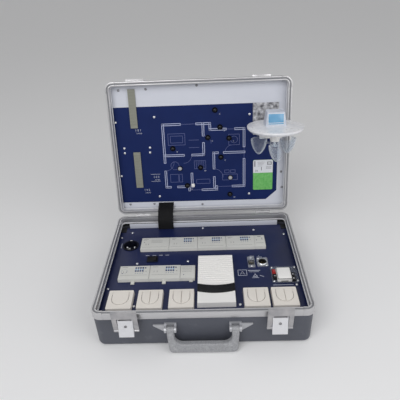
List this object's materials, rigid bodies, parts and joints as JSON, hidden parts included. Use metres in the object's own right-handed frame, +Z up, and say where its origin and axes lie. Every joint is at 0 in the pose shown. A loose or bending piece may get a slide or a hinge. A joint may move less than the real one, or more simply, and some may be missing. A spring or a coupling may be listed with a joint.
{
  "type": "building automation training case",
  "caption": "Hinged carrying case with a navy trainer panel of switches, rail modules and a sensor in its base, and a plan panel with a weather station in its open lid.",
  "frame": {"origin": "centre of the base's footprint, on the table at z = 0", "axes": "+X to the right of a person at the panel, +Y to the hinges at the back, +Z up"},
  "size_m": [0.474, 0.4975, 0.4486],
  "materials": {
    "shell_grey": "fine texture, satin",
    "frame_alloy": "satin anodised",
    "hardware": "bright zinc plated",
    "panel_navy": "satin powder coat",
    "trim_white": "satin",
    "support_grey": "matt",
    "plate_cream": "satin",
    "module_grey": "matt",
    "key_blue": "satin",
    "black_plastic": "satin",
    "visor_dark": "polished",
    "white_plastic": "satin",
    "handle_grey": "textured",
    "sleeve_black": "flat woven sleeve",
    "rubber_black": "matt",
    "card_print": "printed",
    "cup_clear": "translucent",
    "window_grey": "satin",
    "lamp_black": "polished"
  },
  "bodies": {
    "base": {"base_shell": "shell_grey", "base_frame": "frame_alloy", "hinge_base_leaves": "hardware", "rear_feet_base": "rubber_black", "latch_brackets": "hardware", "handle_mounts": "hardware", "base_panel": "panel_navy", "base_panel_screws": "hardware", "panel_supports": "support_grey", "rear_trim_strip": "trim_white", "din_rails": "hardware", "power_supply_module": "module_grey", "switch_modules": "module_grey", "line_modules": "module_grey", "switch_inserts": "white_plastic", "switch_plates": "plate_cream", "sensor_base": "white_plastic", "sensor_cover": "white_plastic", "sensor_visor": "visor_dark", "mains_socket": "black_plastic", "power_switch_housing": "black_plastic", "data_sockets": "hardware", "demo_unit": "white_plastic", "cable_sleeve": "sleeve_black"},
    "lid": {"lid_shell": "shell_grey", "lid_frame": "frame_alloy", "hinge_lid_leaves": "hardware", "rear_feet_lid": "rubber_black", "latch_catches": "frame_alloy", "lid_panel": "panel_navy", "lid_panel_supports": "support_grey", "lid_panel_screws": "hardware", "blind_windows": "window_grey", "led_lamps": "lamp_black", "info_card": "card_print", "station_bracket": "hardware"},
    "station": {"station_body": "white_plastic", "station_disc": "white_plastic", "station_head": "white_plastic"},
    "cup_wheel": {"cup_wheel": "cup_clear"},
    "latch_lever_left": {"latch_lever_left": "hardware"},
    "latch_lever_right": {"latch_lever_right": "hardware"},
    "latch_claw_left": {"latch_claw_left": "hardware"},
    "latch_claw_right": {"latch_claw_right": "hardware"},
    "handle": {"handle": "handle_grey"},
    "power_rocker": {"power_rocker": "black_plastic"},
    "rocker_1": {"rocker_1": "plate_cream"},
    "rocker_2_left": {"rocker_2_left": "plate_cream"},
    "rocker_2_right": {"rocker_2_right": "plate_cream"},
    "rocker_3_left": {"rocker_3_left": "plate_cream"},
    "rocker_3_right": {"rocker_3_right": "plate_cream"},
    "rocker_4_left": {"rocker_4_left": "plate_cream"},
    "rocker_4_right": {"rocker_4_right": "plate_cream"},
    "rocker_5_left": {"rocker_5_left": "plate_cream"},
    "rocker_5_right": {"rocker_5_right": "plate_cream"},
    "keypad_1": {"keypad_1": "key_blue"},
    "keypad_2": {"keypad_2": "key_blue"},
    "keypad_3": {"keypad_3": "key_blue"},
    "keypad_4": {"keypad_4": "key_blue"},
    "keypad_5": {"keypad_5": "key_blue"}
  },
  "joints": [
    {"name": "lid_hinge", "type": "hinge", "parent": "base", "child": "lid", "pos_m": [0, 0.178, 0.1], "axis": [1, 0, 0], "range_deg": [0, 101.5], "deforming": ["cable_sleeve"]},
    {"name": "station_slide", "type": "slide", "parent": "lid", "child": "station", "axis": [1, 0, 0], "range_m": [0, 0.204]},
    {"name": "cup_spin", "type": "hinge", "parent": "station", "child": "cup_wheel", "pos_m": [0.1785, 0.15019, 0.34955], "axis": [0, 0.1305, 0.9914], "continuous": true},
    {"name": "handle_swing", "type": "hinge", "parent": "base", "child": "handle", "pos_m": [0, -0.183, 0.059], "axis": [-1, 0, 0], "range_deg": [-4, 87]},
    {"name": "power_switch_tilt", "type": "hinge", "parent": "base", "child": "power_rocker", "pos_m": [-0.124, 0.022, 0.0735], "axis": [0, 1, 0], "range_deg": [0, 16]},
    {"name": "latch_lever_left_swing", "type": "hinge", "parent": "base", "child": "latch_lever_left", "pos_m": [-0.156, -0.1815, 0.093], "axis": [-1, 0, 0], "range_deg": [-8, 100]},
    {"name": "latch_claw_left_swing", "type": "hinge", "parent": "latch_lever_left", "child": "latch_claw_left", "pos_m": [-0.156, -0.18581, 0.0623], "axis": [-1, 0, 0], "range_deg": [-62.5, 5]},
    {"name": "latch_lever_right_swing", "type": "hinge", "parent": "base", "child": "latch_lever_right", "pos_m": [0.156, -0.1815, 0.093], "axis": [-1, 0, 0], "range_deg": [-8, 100]},
    {"name": "latch_claw_right_swing", "type": "hinge", "parent": "latch_lever_right", "child": "latch_claw_right", "pos_m": [0.156, -0.18581, 0.0623], "axis": [-1, 0, 0], "range_deg": [-62.5, 5]},
    {"name": "rocker_1_tilt", "type": "hinge", "parent": "base", "child": "rocker_1", "pos_m": [-0.179, -0.1155, 0.0782], "axis": [1, 0, 0], "range_deg": [-3, 3], "stiffness_Nm_per_rad": 0.5},
    {"name": "rocker_2_left_tilt", "type": "hinge", "parent": "base", "child": "rocker_2_left", "pos_m": [-0.114, -0.1155, 0.0782], "axis": [1, 0, 0], "range_deg": [-3, 3], "stiffness_Nm_per_rad": 0.5},
    {"name": "rocker_2_right_tilt", "type": "hinge", "parent": "base", "child": "rocker_2_right", "pos_m": [-0.114, -0.1155, 0.0782], "axis": [1, 0, 0], "range_deg": [-3, 3], "stiffness_Nm_per_rad": 0.5},
    {"name": "rocker_3_left_tilt", "type": "hinge", "parent": "base", "child": "rocker_3_left", "pos_m": [-0.0458, -0.1155, 0.0782], "axis": [1, 0, 0], "range_deg": [-3, 3], "stiffness_Nm_per_rad": 0.5},
    {"name": "rocker_3_right_tilt", "type": "hinge", "parent": "base", "child": "rocker_3_right", "pos_m": [-0.0458, -0.1155, 0.0782], "axis": [1, 0, 0], "range_deg": [-3, 3], "stiffness_Nm_per_rad": 0.5},
    {"name": "rocker_4_left_tilt", "type": "hinge", "parent": "base", "child": "rocker_4_left", "pos_m": [0.1157, -0.1155, 0.0782], "axis": [1, 0, 0], "range_deg": [-3, 3], "stiffness_Nm_per_rad": 0.5},
    {"name": "rocker_4_right_tilt", "type": "hinge", "parent": "base", "child": "rocker_4_right", "pos_m": [0.1157, -0.1155, 0.0782], "axis": [1, 0, 0], "range_deg": [-3, 3], "stiffness_Nm_per_rad": 0.5},
    {"name": "rocker_5_left_tilt", "type": "hinge", "parent": "base", "child": "rocker_5_left", "pos_m": [0.1763, -0.1155, 0.0782], "axis": [1, 0, 0], "range_deg": [-3, 3], "stiffness_Nm_per_rad": 0.5},
    {"name": "rocker_5_right_tilt", "type": "hinge", "parent": "base", "child": "rocker_5_right", "pos_m": [0.1763, -0.1155, 0.0782], "axis": [1, 0, 0], "range_deg": [-3, 3], "stiffness_Nm_per_rad": 0.5},
    {"name": "keypad_1_press", "type": "slide", "parent": "base", "child": "keypad_1", "axis": [0, 0, -1], "range_m": [0, 0.0005], "stiffness_N_per_m": 1000},
    {"name": "keypad_2_press", "type": "slide", "parent": "base", "child": "keypad_2", "axis": [0, 0, -1], "range_m": [0, 0.0005], "stiffness_N_per_m": 1000},
    {"name": "keypad_3_press", "type": "slide", "parent": "base", "child": "keypad_3", "axis": [0, 0, -1], "range_m": [0, 0.0005], "stiffness_N_per_m": 1000},
    {"name": "keypad_4_press", "type": "slide", "parent": "base", "child": "keypad_4", "axis": [0, 0, -1], "range_m": [0, 0.0005], "stiffness_N_per_m": 1000},
    {"name": "keypad_5_press", "type": "slide", "parent": "base", "child": "keypad_5", "axis": [0, 0, -1], "range_m": [0, 0.0005], "stiffness_N_per_m": 1000}
  ],
  "couplings": [
    {"joint": "station_slide", "follows": "lid_hinge", "m_per_rad": 0.115},
    {"joint": "latch_claw_left_swing", "follows": "latch_lever_left_swing", "ratio": -0.625},
    {"joint": "latch_claw_right_swing", "follows": "latch_lever_right_swing", "ratio": -0.625}
  ]
}
